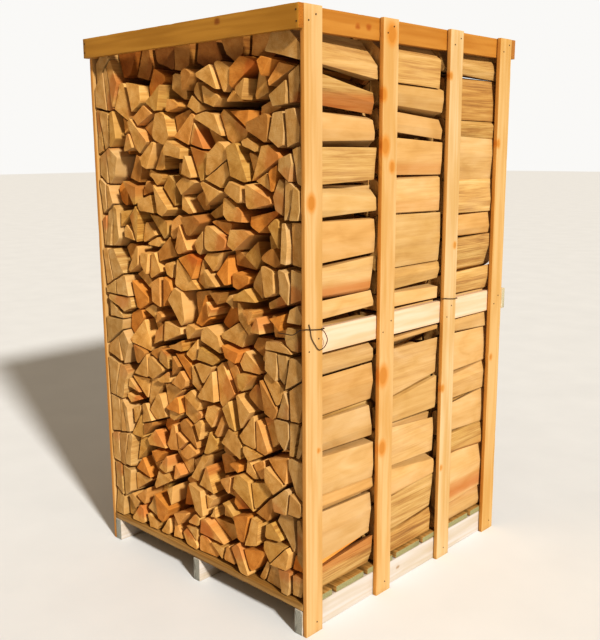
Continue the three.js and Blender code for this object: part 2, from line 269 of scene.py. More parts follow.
def lay_row(seed):
    random = random_source(seed)
    centres = pile_centres(random)
    pile = [
        (-PILE_HALF_WIDTH, PILE_BOTTOM),
        (PILE_HALF_WIDTH, PILE_BOTTOM),
        (PILE_HALF_WIDTH, PILE_TOP),
        (-PILE_HALF_WIDTH, PILE_TOP),
    ]
    logs = []
    for at, layer, side in centres:
        is_top = layer == LAYERS - 1
        cell = pile
        for other, _, _ in centres:
            if other is at:
                continue
            apart = (other[0] - at[0], other[1] - at[1])
            cell = trim(cell, (at[0] + apart[0] * 0.5, at[1] + apart[1] * 0.5), apart)
        if is_top:
            sloping = (random(-TOP_SLOPE, TOP_SLOPE), 1)
            recess = random(*TOP_RECESS)
            cell = trim(cell, (at[0], PILE_TOP - recess), sloping)
            for sign in (-1, 1):
                corner = (sign * (RAIL_INNER_X - PILE_CLEARANCE), TOP_BOARD_BOTTOM)
                cell = trim(cell, corner, (sign, 1))
        pieces = fit_to_side(cell, side, random) if side else [cell]
        for piece in pieces:
            if area_of(piece) < SMALLEST_LOG:
                continue
            limit = math.inf if is_top else split_limit(piece, random)
            for part in split_wood(piece, limit, side != 0, random):
                if area_of(part) < SMALLEST_LOG:
                    continue
                holed = random(0, 1) < VOID_SHARE and not is_top
                outline = lose_corner(part, random) if holed else part
                recess = end_recess(centre_of(part)[1], layer, side, random)
                logs.append({"outline": outline, "is_top": is_top, "side": side, "recess": recess})
    return logs


# Meshes: a form is lofted through rings of points, and closed by a fan at both ends.
# A ring runs anticlockwise in the plane (u, v), where u x v points against the lofting direction.
# How far along the grain one piece's wood may lie from another's, so that no two are alike
FAR_AWAY = 9000
# Points of the curve at a corner
CURVE_POINTS = 3


def loft(rings):
    stations, count = rings.shape[:2]
    points = rings.reshape(-1, 3)
    middles = np.array([rings[0].mean(axis=0), rings[-1].mean(axis=0)])
    index = np.arange(stations * count).reshape(stations, count)
    following = np.roll(index, -1, axis=1)
    quads = np.stack([index[:-1], index[1:], following[1:], following[:-1]], axis=-1).reshape(-1, 4)
    first = stations * count
    near = np.stack([np.full(count, first), index[0], following[0]], axis=-1)
    far = np.stack([np.full(count, first + 1), following[-1], index[-1]], axis=-1)
    return np.concatenate([points, middles]), quads, np.concatenate([near, far])


def link(name, data):
    made = bpy.data.objects.new(name, data)
    bpy.context.scene.collection.objects.link(made)
    return made


def face_values(count, tint, sawn, rough, heart):
    values = np.zeros((count, 6))
    values[:, :3] = tint
    for column, value in enumerate((sawn, rough, heart), start=3):
        values[:, column] = value
    return values


def write_attribute(mesh, name, domain, values):
    kind, key = ("FLOAT_VECTOR", "vector") if values.ndim > 1 else ("FLOAT", "value")
    mesh.attributes.new(name, kind, domain).data.foreach_set(key, values.astype(np.float32).ravel())


class Form:
    """Lofts joined in one mesh, with what the materials read from it.

    grain is a point's place in its own piece of wood, with the last axis along the grain. knot is
    high on and round a knot. tint is a face's colour factor, and parts says for a face how far it
    is a sawn end, rough and streaked, and reddish heartwood.
    """

    def __init__(self):
        self.points = []
        self.quads = []
        self.triangles = []
        self.grain = []
        self.knot = []
        self.quad_values = []
        self.triangle_values = []
        self.count = 0

    def add(self, rings, grain, tint=(1, 1, 1), rough=0.0, knot=None, heart=0.0):
        points, quads, triangles = loft(rings)
        self.points.append(points)
        self.grain += [grain.reshape(-1, 3), [grain[0].mean(axis=0), grain[-1].mean(axis=0)]]
        self.knot.append(np.zeros(len(points)) if knot is None else np.append(knot.reshape(-1), [0, 0]))
        self.quads.append(quads + self.count)
        self.triangles.append(triangles + self.count)
        self.quad_values.append(face_values(len(quads), tint, 0, rough, heart))
        end_tint = np.reshape(tint, (-1, 3))[0]
        self.triangle_values.append(face_values(len(triangles), end_tint, 1, 0, heart))
        self.count += len(points)

    def piece(self, name, material, slot, replaced, sharp=32):
        mesh = bpy.data.meshes.new(name)
        faces = np.concatenate(self.quads).tolist() + np.concatenate(self.triangles).tolist()
        mesh.from_pydata((np.concatenate(self.points) * MM).tolist(), [], faces)
        values = np.concatenate(self.quad_values + self.triangle_values)
        write_attribute(mesh, "grain", "POINT", np.concatenate(self.grain) * MM)
        write_attribute(mesh, "knot", "POINT", np.concatenate(self.knot))
        write_attribute(mesh, "tint", "FACE", values[:, :3])
        write_attribute(mesh, "parts", "FACE", values[:, 3:])
        mesh.shade_smooth()
        mesh.set_sharp_from_angle(angle=math.radians(sharp))
        mesh.materials.append(material)
        piece = link(name, mesh)
        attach(piece, "root")
        if replaced:
            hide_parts(*replaced)


def smooth_noise(rows, columns, row_knots, column_knots, random):
    """Values from 0 to 1 that change smoothly over a grid, closed along its first axis."""
    knots = random.random_sample((row_knots, column_knots))
    knots = np.concatenate([knots, knots[:1]])
    across = np.linspace(0, row_knots, rows, endpoint=False)
    along = np.linspace(0, column_knots - 1, columns)
    row = np.minimum(across.astype(int), row_knots - 1)
    column = np.minimum(along.astype(int), max(column_knots - 2, 0))
    row_share = smooth_step((across - row)[:, None], 0, 1)
    column_share = smooth_step((along - column)[None, :], 0, 1)
    next_column = np.minimum(column + 1, column_knots - 1)
    low, high = (
        knots[at][:, column] * (1 - column_share) + knots[at][:, next_column] * column_share
        for at in (row, row + 1)
    )
    return low * (1 - row_share) + high * row_share


def smooth_step(value, low, high):
    share = np.clip((value - low) / (high - low), 0, 1)
    return share * share * (3 - 2 * share)


def edges_of(corners):
    return np.roll(corners, -1, axis=0) - corners


def lengths_of(corners):
    return np.linalg.norm(edges_of(corners), axis=1)


def unit(vectors):
    return vectors / np.linalg.norm(vectors, axis=1)[:, None]


def cross(first, second):
    return first[..., 0] * second[..., 1] - first[..., 1] * second[..., 0]


def rounded_loop(corners, cuts, curve_counts, edge_counts):
    """Points round an outline whose corners are rounded, each by a curve that starts its cut away."""
    first = corners + unit(np.roll(corners, 1, axis=0) - corners) * cuts[:, None]
    last = corners + unit(edges_of(corners)) * cuts[:, None]
    following = np.roll(first, -1, axis=0)
    points = []
    for index, corner in enumerate(corners):
        t = np.linspace(0, 1, curve_counts[index])[:, None]
        points.append((1 - t) ** 2 * first[index] + 2 * t * (1 - t) * corner + t * t * last[index])
        t = np.linspace(0, 1, edge_counts[index] + 2)[1:-1, None]
        points.append(last[index] * (1 - t) + following[index] * t)
    return np.concatenate(points)


# Logs: most pairs are the least and the most of a random draw
LOG_SEED = 100
NEAR_SEED = 200
FAR_SEED = 300
SHORT_EDGE = 13
FLAT_TURN = 0.13
LEAST_INSET_EDGE = 4
CRAMPED_SIZE = 0.9
CORNER_CUT = (1.2, 3.6)
GROOVE_CUT = (2, 6)
GROOVE_MOST_SHARE = 0.25
BLUNT_SHARE = 0.25
BLUNT_CUT = (7, 16)
MOST_CUT_SHARE = 0.35
ROUND_SIDE_SHARE = 0.3
ROUND_SIDE_CHOICE = (0.6, 1.0)
ROUND_CUT_SHARE = (0.2, 0.42)
ROUND_CURVE_POINTS = 6
# How far a log stays within the outline that its solid has
GAP = (2.2, 5.6)
UPRIGHT_GAP_FACTOR = 1.3
OPEN_SHARE = 0.3
OPEN_GAP = (5, 13)
SIDE_GAP = (1.8, 5.0)
OUTER_GAP = (0, 1)
TOP_GAP = (5, 14)
TOP_FACE_GAP = (0, 1.5)
TOP_FACE_TURN = 0.75
LEFT_FRONT_GAP = 1.2
MIDDLE_ROW_GAP = 1.0
CLOSED_GAP = 0.4
# From here up the photograph's lines of sight are level, and the back row's side logs touch
LEVEL_VIEW_Z = 1050
TOUCHING_GAP = -0.8
# How much a face turns inwards towards the near end, and towards the far one
NEAR_WEDGE = (3, 13)
LEAST_FAR_WEDGE = 4
MOST_FAR_WEDGES = {"inner": 15, "side": 24, "high side": 34, "left side": 9}
# The ridge along a side log's outer face: its place, and how far the corners beside it stand back
RIDGE_PLACE = (0.3, 0.7)
RIDGE_DEPTHS = [(5, 26), (0, 10)]
FAR_RIDGE_FACTOR = (0.3, 1.2)
LEFT_FRONT_RIDGE_FACTOR = 0.15
END_CHAMFER = 0.8
END_WEAR = 2.8
END_WEAR_LENGTH = 18
END_SLOPE = 0.055
MOST_END_SLOPE = 0.16
HIDDEN_SIDE_SLOPE = 0.08
ROUGH_SHARE = 0.25
ROUGH_SIDE_SHARE = 0.14
HIGH_SIDE_ROUGH_SHARE = 0.6
TORN_SHARE = 0.4
ROUGH_RELIEF = (1.4, 3.4)
TORN_RELIEF = (0.8, 2.2)
CALM_RELIEF = (0.15, 0.5)
INWARD_RELIEF = 0.2
RIPPLES = 5
RIPPLE_DRIFT = 1.4
RIPPLE_LEAST = 0.55
RIPPLE_SPREAD = 0.9
LEAST_SECTION = 0.4
PITH_DISTANCE = (20, 75)
HEART_SHARE = 0.3
HEART_COLOUR = (0.3, 1.0)
ROUGH_COLOUR = (0.5, 1.0)
CALM_COLOUR = (0, 0.25)
BRIGHTNESS = (0.92, 1.07)
# Colour factors of the logs, with how often they come
INNER_TINTS = [
    ((1.0, 1.0, 1.0), 0.42),
    ((1.1, 1.08, 1.04), 0.16),
    ((0.98, 0.72, 0.42), 0.12),
    ((0.88, 0.88, 0.76), 0.12),
    ((1.02, 0.9, 0.8), 0.1),
    ((0.72, 0.6, 0.45), 0.08),
]
SIDE_TINTS = [
    ((1.0, 1.0, 1.0), 0.5),
    ((1.03, 1.04, 1.05), 0.16),
    ((0.94, 0.93, 0.85), 0.2),
    ((1.0, 0.94, 0.84), 0.14),
]
# Painted shade: the logs of the top course, under the top boards, are darkened
TOP_LOG_PAINTED_SHADE = (0.56, 0.46, 0.35)
SIDE_TINT = (0.92, 1.0, 1.22)
HIGH_SIDE_Z = 1640
HIGH_SIDE_TINT = (0.9, 0.86, 0.8)
LOW_SIDE_Z = 930
LOW_SIDE_TINT = (0.91, 0.9, 0.89)
# How outlines wander: lengths of the waves, and how far the ends between the rows go, row by row
SHORT_WAVES = (95, 210)
LONG_WAVES = (330, 640)
LONG_REACH = 9
NEAR_REACHES = [0, 9, 9]
FAR_REACHES = [11, 11, 0]
# How far from the middle rails, the sides, the floor and the top boards they start to wander
RAIL_FREE = (6, 90)
SIDE_FREE = (30, 90)
FLOOR_FREE = 60
TOP_FREE = 60
# How far the far ends of the logs high on the right side sag, row by row, and where
SAGS = [44, 26, 8]
SAG_HEIGHTS = (1540, 1790)
SAG_PLACES = (300, 500)
# Where logs start and end against their solids: at the front, at the back and inside the pile
FRONT_START = (-2, 5)
LEFT_FRONT_START = (1, 7)
BACK_END = (-9, 4)
HIDDEN_END = (-5, 5)
HIDDEN_STARTS = {"inner": (-5, 5), "side": (2, 13)}
# How far the outermost logs of each row reach behind the others, and start behind them
SIDE_REACHES = [-2, 13, 20]
SIDE_STARTS = [0, 0, 11]
# Sections along a log, and the distance of its points round it, by how much of it shows
STATIONS = {
    "side": [0, 1, 8, 30, 60, 95, 130, 170, 210, 250, 290, 325],
    "end": [0, 1, 8, 40],
    "hidden": [0, 1],
}
SPACINGS = {"side": 10, "end": 15, "hidden": 30}


def simplified(outline):
    corners = [np.array(corner) for corner in outline]
    index = 0
    while index < len(corners) and len(corners) > 3:
        before = corners[index - 1]
        into = corners[index] - before
        out = corners[(index + 1) % len(corners)] - corners[index]
        lengths = np.linalg.norm(into), np.linalg.norm(out)
        if lengths[0] < SHORT_EDGE:
            corners[index - 1] = (before + corners[index]) / 2
            del corners[index]
            index = 0
        elif cross(into, out) / (lengths[0] * lengths[1]) < FLAT_TURN:
            del corners[index]
            index = 0
        else:
            index += 1
    return np.array(corners)


def turns_of(corners):
    out = edges_of(corners)
    return cross(np.roll(out, 1, axis=0), out)


def inset(corners, distances):
    """Moves each edge of a convex outline inwards, and keeps the number of its corners."""
    along = unit(edges_of(corners))
    starts = corners + np.stack([-along[:, 1], along[:, 0]], axis=1) * distances[:, None]
    earlier = np.roll(along, 1, axis=0)
    earlier_starts = np.roll(starts, 1, axis=0)
    reach = cross(starts - earlier_starts, along) / cross(earlier, along)
    moved = earlier_starts + earlier * reach[:, None]
    if np.any(np.sum(edges_of(moved) * along, axis=1) < LEAST_INSET_EDGE):
        if distances.max() > GAP[1]:
            return inset(corners, np.minimum(distances, GAP[0]))
        middle = corners.mean(axis=0)
        return middle + (corners - middle) * CRAMPED_SIZE
    return moved


def facing(corners):
    along = unit(edges_of(corners))
    return np.stack([along[:, 1], -along[:, 0]], axis=1)


def wave_numbers(lengths, shape, random):
    waves = random.uniform(math.tau / lengths[1], math.tau / lengths[0], shape)
    return waves * random.choice([-1, 1], shape)


class Shift:
    """How the outlines of a row's logs have wandered at one of its ends, so that few logs are level.

    The sides of the pile, its floor and what lies beside the middle rails stay where they are.
    """

    def __init__(self, seed, reach, sag):
        random = np.random.RandomState(seed)
        self.waves = wave_numbers(SHORT_WAVES, (4, 2, 2), random)
        self.phases = random.uniform(0, math.tau, (4, 2))
        self.long_waves = wave_numbers(LONG_WAVES, (3, 2), random)
        self.long_phases = random.uniform(0, math.tau, 3)
        self.reach = reach
        self.sag = sag

    def moved(self, corners):
        x = corners[:, 0]
        z = corners[:, 1]
        angles = np.einsum("nk,wak->nwa", corners, self.waves) + self.phases
        wander = np.sin(angles).sum(axis=1) / 2 * self.reach
        long_angles = corners @ self.long_waves.T + self.long_phases
        rise = np.sin(long_angles).sum(axis=1) * LONG_REACH * (self.reach > 0)
        rail = np.maximum(MIDDLE_RAIL_BOTTOM - z, z - MIDDLE_RAIL_TOP)
        free = smooth_step(rail, *RAIL_FREE) * smooth_step(z, PILE_BOTTOM, PILE_BOTTOM + FLOOR_FREE)
        free_side = smooth_step(PILE_HALF_WIDTH - np.abs(x), *SIDE_FREE)
        sag = self.sag * smooth_step(z, *SAG_HEIGHTS) * smooth_step(x, *SAG_PLACES)
        across = wander[:, 0] * free * free_side
        free_top = smooth_step(TOP_BOARD_BOTTOM + TOP_FREE / 2 - z, 0, TOP_FREE)
        upward = (wander[:, 1] + rise) * free * free_top - sag
        shifted = corners + np.stack([across, upward], axis=1)
        return shifted if turns_of(shifted).min() > 0 else corners


def pick_tint(log, height, random):
    side = log["side"]
    share = random.random_sample()
    for tint, weight in (SIDE_TINTS if side else INNER_TINTS):
        share -= weight
        if share < 0:
            break
    tint = np.array(tint) * random.uniform(*BRIGHTNESS)
    if side:
        tint *= SIDE_TINT
    elif log["is_top"]:
        # painted shade on the top course's logs
        tint *= TOP_LOG_PAINTED_SHADE
    if side and height > HIGH_SIDE_Z:
        tint *= HIGH_SIDE_TINT
    if side and height < LOW_SIDE_Z:
        tint *= LOW_SIDE_TINT
    return tint


def add_ridge(near, far, side, near_factor, random):
    """Bends the outer face of a log beside the slats, so that it has an upper and a lower face."""
    count = len(near)
    following = np.roll(near, -1, axis=0)
    outer = int(np.argmax(side * (near[:, 0] + following[:, 0]) - np.abs(near[:, 0] - following[:, 0])))
    share = random.uniform(*RIDGE_PLACE)
    ends = [outer, (outer + 1) % count]
    if random.random_sample() >= 0.5:
        ends.reverse()
    depths = [random.uniform(*depth) for depth in RIDGE_DEPTHS]
    bent = []
    for corners, factor in ((near, near_factor), (far, random.uniform(*FAR_RIDGE_FACTOR))):
        ridge = corners[outer] * (1 - share) + corners[(outer + 1) % count] * share
        corners = corners.copy()
        for end, depth in zip(ends, depths):
            corners[end, 0] -= side * depth * factor
        bent.append(np.insert(corners, outer + 1, ridge, axis=0))
    if min(turns_of(corners).min() for corners in bent) <= 0:
        return near, far, [outer]
    return bent[0], bent[1], [outer, outer + 1]


def groove(corners, outer, depths):
    """Narrows the outer face of a log that touches its neighbours further in."""
    first = outer[0]
    last = (outer[-1] + 1) % len(corners)
    tall = corners[last, 1] - corners[first, 1]
    room = abs(tall) * GROOVE_MOST_SHARE
    corners = corners.copy()
    corners[first, 1] += np.sign(tall) * min(depths[first - 1], room)
    corners[last, 1] -= np.sign(tall) * min(depths[last], room)
    return corners


def wedge_shares(log, row, is_high, is_level):
    """How often a face turns inwards towards the near end of a log, and towards its far end."""
    side = log["side"]
    if side < 0 and row == 0:
        return 0.1, 0.4
    if side and row == 2 and not is_level:
        return 0.6, 0.0
    if row == 1 and not side and not log["is_top"]:
        return 0.0, 0.0
    return (0.5 if is_high else 0.3), 0.4


def inside_room(near, far, outer, log, row, height, random):
    """The outlines of a log's ends, with gaps beside its neighbours where it has any."""
    side = log["side"]
    count = len(near)
    is_high = side != 0 and height > HIGH_SIDE_Z
    is_level = side != 0 and row == 2 and height > LEVEL_VIEW_Z
    gaps = random.uniform(*(SIDE_GAP if side else GAP), count)
    is_open = random.random_sample(count) < (0 if side else OPEN_SHARE)
    gaps = np.where(is_open, random.uniform(*OPEN_GAP, count), gaps)
    if not side:
        gaps *= 1 + (UPRIGHT_GAP_FACTOR - 1) * np.abs(facing(near)[:, 0])
    if side < 0 and row == 0:
        gaps = np.minimum(gaps, LEFT_FRONT_GAP)
    if row == 1 and not side and not log["is_top"]:
        gaps = np.minimum(gaps, MIDDLE_ROW_GAP)
    near_share, far_share = wedge_shares(log, row, is_high, is_level)
    kind = "left side" if side < 0 else "high side" if is_high else "side" if side else "inner"
    far_wedge = (LEAST_FAR_WEDGE, MOST_FAR_WEDGES[kind])
    near_wedges = np.where(random.random_sample(count) < near_share, random.uniform(*NEAR_WEDGE, count), 0)
    far_wedges = np.where(random.random_sample(count) < far_share, random.uniform(*far_wedge, count), 0)
    gaps[outer] = random.uniform(*OUTER_GAP, len(outer))
    near_wedges[outer] = 0
    far_wedges[outer] = 0
    if log["is_top"]:
        if not side:
            gaps = random.uniform(*TOP_GAP, count)
        is_upper = facing(near)[:, 1] > TOP_FACE_TURN
        gaps[is_upper] = random.uniform(*TOP_FACE_GAP, is_upper.sum())
        near_wedges[is_upper] = 0
        far_wedges[is_upper] = 0
    if is_level:
        touching = np.full(count, TOUCHING_GAP)
        return groove(inset(near, touching), outer, gaps + near_wedges), inset(far, touching)
    far_gaps = np.minimum(gaps, CLOSED_GAP) if side and row == 2 else gaps
    return inset(near, gaps + near_wedges), inset(far, far_gaps + far_wedges)


def rounded_ends(near, far, edges, spacing, side, row, random):
    """Loops of points round a log's ends, and how many of them each corner and its next edge take."""
    count = len(near)
    shares = np.zeros(count)
    round_side = int(np.argmax(edges * random.uniform(*ROUND_SIDE_CHOICE, count)))
    if random.random_sample() < ROUND_SIDE_SHARE and not side:
        shares[round_side] = random.uniform(*ROUND_CUT_SHARE)
        shares[(round_side + 1) % count] = random.uniform(*ROUND_CUT_SHARE)
    edge_counts = np.maximum(1, np.round(edges * (1 - shares - np.roll(shares, -1)) / spacing)).astype(int)
    curve_counts = np.where(shares > 0, ROUND_CURVE_POINTS, CURVE_POINTS)
    is_blunt = random.random_sample(count) < (0 if side else BLUNT_SHARE)
    corner_cut = GROOVE_CUT if side and row == 2 else CORNER_CUT
    least_cuts = np.where(is_blunt, random.uniform(*BLUNT_CUT, count), random.uniform(*corner_cut, count))
    loops = []
    for corners in (near, far):
        sizes = lengths_of(corners)
        room = np.minimum(sizes, np.roll(sizes, 1))
        cuts = np.maximum(shares * room, np.minimum(least_cuts, room * MOST_CUT_SHARE))
        loops.append(rounded_loop(corners, cuts, curve_counts, edge_counts))
    return loops, curve_counts + edge_counts


def ripple(points, stations, random):
    """Ridges along the fibres, from 0 to 1, that drift slowly round the log."""
    around = np.arange(points) / points
    ridges = np.zeros((points, len(stations)))
    for _ in range(RIPPLES):
        waves = random.randint(2, max(4, points // 3))
        drift = random.uniform(-RIPPLE_DRIFT, RIPPLE_DRIFT)
        phase = random.uniform(0, math.tau)
        angle = math.pi * waves * around[:, None] + phase + drift * stations[None, :]
        ridges += np.abs(np.sin(angle)) / math.sqrt(waves)
    ridges /= ridges.max()
    patches = smooth_noise(points, len(stations), max(4, points // 4), 4, random)
    return ridges * (RIPPLE_LEAST + RIPPLE_SPREAD * patches)


def relief_of(edge_of_point, outer, is_rough, is_calm_inside, random):
    """How deep the fibres stand out at each point round a log."""
    count = edge_of_point[-1] + 1
    if is_rough:
        reliefs = random.uniform(*ROUGH_RELIEF, count)
    else:
        is_torn = random.random_sample(count) < TORN_SHARE
        reliefs = np.where(is_torn, random.uniform(*TORN_RELIEF, count), random.uniform(*CALM_RELIEF, count))
    if is_calm_inside:
        is_inward = np.ones(count, bool)
        is_inward[outer] = False
        reliefs[is_inward] = INWARD_RELIEF
    relief = reliefs[edge_of_point]
    return (relief + np.roll(relief, 1) + np.roll(relief, -1)) / 3


def sections(detail, row):
    """Places along a log where it has a section, denser where it shows."""
    places = STATIONS[detail] + [LOG_LENGTH - 1, LOG_LENGTH]
    if row == 2:
        places = [LOG_LENGTH - place for place in reversed(places)]
    return np.array(places, float) / LOG_LENGTH


def end_offsets(ring, middle, is_hidden, side, random):
    """How far a log's end face leans along the log: one that shows leans little and both ways."""
    slopes = random.normal(0, HIDDEN_SIDE_SLOPE if is_hidden and side else END_SLOPE, 2)
    if is_hidden:
        leaning = (ring - middle) @ slopes
        return leaning - leaning.max()
    return (ring - middle) @ np.clip(slopes, -MOST_END_SLOPE, MOST_END_SLOPE)


def span_of(log, row, random):
    """Where a log starts and ends, before its ends lean."""
    side = log["side"]
    start = FRONT + ROW_STARTS[row]
    end = start + LOG_LENGTH
    if row == 0:
        start += log["recess"] + random.uniform(*FRONT_START)
    else:
        start += random.uniform(*HIDDEN_STARTS["side" if side else "inner"])
    end += random.uniform(*BACK_END) - log["recess"] if row == 2 else random.uniform(*HIDDEN_END)
    if side:
        start += SIDE_STARTS[row]
        end += SIDE_REACHES[row]
    if side < 0 and row == 0:
        start = FRONT + random.uniform(*LEFT_FRONT_START)
    return start, end


def add_log(form, log, row, shifts, random):
    """One log inside the room that its outline gives it in its row."""
    side = log["side"]
    detail = "side" if side or log["is_top"] else "hidden" if row == 1 else "end"
    start, end = span_of(log, row, random)
    base = simplified(log["outline"])
    height = base[:, 1].mean()
    near, far = (shift.moved(base) for shift in shifts)
    outer = []
    if side:
        near_factor = LEFT_FRONT_RIDGE_FACTOR if side < 0 and row == 0 else 1.0
        near, far, outer = add_ridge(near, far, side, near_factor, random)
    edges = lengths_of(near)
    near, far = inside_room(near, far, outer, log, row, height, random)
    loops, counts = rounded_ends(near, far, edges, SPACINGS[detail], side, row, random)
    near_loop, far_loop = loops
    points = len(near_loop)

    rough_share = ROUGH_SHARE
    if side:
        rough_share = HIGH_SIDE_ROUGH_SHARE if height > HIGH_SIDE_Z else ROUGH_SIDE_SHARE
    is_rough = random.random_sample() < rough_share or log["is_top"]
    edge_of_point = np.repeat(np.arange(len(counts)), counts)
    relief = relief_of(edge_of_point, outer, is_rough, side != 0 and row == 2, random)
    stations = sections(detail, row)
    total = len(stations)
    depth = relief[:, None] * ripple(points, stations, random)
    depth[:, [0, -1]] += END_CHAMFER
    if side < 0 and row == 0:
        depth += END_WEAR * np.exp(-stations * LOG_LENGTH / END_WEAR_LENGTH)

    middle = near_loop.mean(axis=0)
    rings = np.zeros((total, points, 3))
    for index, share in enumerate(stations):
        ring = near_loop * (1 - share) + far_loop * share
        centre = ring.mean(axis=0)
        reach = np.linalg.norm(ring - centre, axis=1)
        ring = centre + (ring - centre) * np.maximum(LEAST_SECTION, 1 - depth[:, index] / reach)[:, None]
        rings[index][:, [0, 2]] = ring
    near_y = start + end_offsets(rings[0][:, [0, 2]], middle, row > 0, side, random)
    far_y = end + end_offsets(rings[-1][:, [0, 2]], middle, row < 2, side, random)
    near_y = np.maximum(near_y, FRONT + 1)
    far_y = np.minimum(far_y, BACK - 1)
    for index, share in enumerate(stations):
        rings[index, :, 1] = near_y * (1 - share) + far_y * share
    rings[1, :, 1] = near_y + END_CHAMFER
    rings[-2, :, 1] = far_y - END_CHAMFER

    along = base[1] - base[0]
    outward = np.array([along[1], -along[0]]) / np.linalg.norm(along)
    pith = base.mean(axis=0) - outward * random.uniform(*PITH_DISTANCE)
    grain = rings[..., [0, 2, 1]] - [*pith, -random.uniform(-FAR_AWAY, FAR_AWAY)]
    rough = random.uniform(*ROUGH_COLOUR) if is_rough else random.uniform(*CALM_COLOUR)
    heart = random.uniform(*HEART_COLOUR) if random.random_sample() < HEART_SHARE else 0.0
    form.add(rings, grain, pick_tint(log, height, random), rough, heart=heart)


def make_rows(material):
    for index, row in enumerate(ROWS):
        random = np.random.RandomState(LOG_SEED + index)
        shifts = [
            Shift(NEAR_SEED + index, NEAR_REACHES[index], 0),
            Shift(FAR_SEED + index, FAR_REACHES[index], SAGS[index]),
        ]
        joined = Form()
        number = 0
        for log in lay_row(ROW_SEEDS[index]):
            if log["is_top"]:
                number += 1
                single = Form()
                add_log(single, log, index, shifts, random)
                single.piece(f"split_log_{row}_{number}", material, "log", [f"top_log_{row}_{number}"])
            else:
                add_log(joined, log, index, shifts, random)
        joined.piece(f"stacked_logs_{row}", material, "log", [f"log_row_{row}"])


# Boards
BOARD_SEED = 501
DECK_BOARDS = 7
FACE_INSET = 0.7
BOARD_CUT = 2.2
BOARD_CUT_SHARES = (0.8, 1.4)
# The distances of a board's sections, and of its points round it
BOARD_STATION = 22
BOARD_POINT = 11
CLOSEST_STATION = 0.8
END_STATION = 1.2
# Depths of the saw's fine and coarse waves, of the worn dents along the arrises and of the ends
FINE_RELIEF = 0.35
COARSE_RELIEF = 0.5
DENT_RELIEF = 3.6
DENT_LEAST = 0.62
END_RELIEF = 1.0
# Small knots, for the boards whose own ones the photograph doesn't show
KNOT_EVERY = 700
KNOT_FROM_END = 60
KNOT_PLACES = (0.2, 0.8)
KNOT_RADIUS = (5, 10)
# Where a knot has sections of its own, in radii
KNOT_STATIONS = (-2.2, -1.5, -1, -0.6, -0.2, 0.2, 0.6, 1, 1.5, 2.2)
# How a distance along the board counts at a knot, how far and how much the knot bends the fibres
# beside it, and how far its own wood goes
KNOT_FLATNESS = 0.7
KNOT_REACH = 1.9
KNOT_BEND = 0.8
KNOT_EDGE = 1.7
# The pith's place beside a board, across it and through it
PITH_ASIDE = 35
PITH_BEHIND = (25, 70)
# Painted shade: the slats' narrow edges are a darker, deeper orange than their faces
SLAT_EDGE_PAINTED_SHADE = (1.0, 0.76, 0.42)
# Loft directions: for each axis along a board, the two axes across it
ACROSS = {0: (2, 1), 1: (0, 2), 2: (1, 0)}

# Knots as (height or place along the board, place across it, radius), in the crate's coordinates
KNOTS = {
    "slat_right_1": [(1431, -552, 17), (640, -520, 6)],
    "slat_right_2": [
        (1952, -168, 22),
        (1763, -206, 14),
        (1600, -196, 20),
        (1532, -158, 13),
        (823, -190, 24),
        (560, -190, 18),
    ],
    "slat_right_3": [(1843, 176, 9), (1240, 230, 9), (700, 178, 10), (380, 182, 8), (121, 262, 7)],
    "slat_right_4": [(1610, 512, 11), (760, 520, 9)],
    "top_rail_right": [(-265, 1966, 8), (-319, 1962, 7)],
    "top_board_front": [(205, 1982, 8)],
    "middle_rail_right": [(250, 1000, 6)],
    "bearer_right": [(-60, 50, 6)],
}


def some_knots(low, high, along, wide, random):
    knots = []
    for _ in range(1 + int((high[along] - low[along]) // KNOT_EVERY)):
        place = random.uniform(low[along] + KNOT_FROM_END, high[along] - KNOT_FROM_END)
        side = low[wide] + random.uniform(*KNOT_PLACES) * (high[wide] - low[wide])
        knots.append((place, side, random.uniform(*KNOT_RADIUS)))
    return knots


def board_places(start, end, knots):
    """Places along a board where it has a section, closer together at its ends and knots."""
    places = [*np.arange(start, end, BOARD_STATION), end, start + END_STATION, end - END_STATION]
    for place, _, radius in knots:
        places += [place + radius * step for step in KNOT_STATIONS]
    places = np.array(sorted(place for place in places if start <= place <= end))
    places = places[np.concatenate([[True], np.diff(places) > CLOSEST_STATION])]
    places[-1] = end
    return places


def board_relief(points, total, is_corner, random):
    """How far a board is worn at each of its points."""
    relief = FINE_RELIEF * smooth_noise(points, total, max(4, points // 3), max(3, total // 5), random)
    relief += COARSE_RELIEF * smooth_noise(points, total, 4, max(3, total // 16), random)
    dents = smooth_noise(points, total, 8, max(4, total // 2), random)
    relief += is_corner[:, None] * DENT_RELIEF * np.clip(dents - DENT_LEAST, 0, 1)
    relief[:, [0, -1]] += END_RELIEF
    return relief


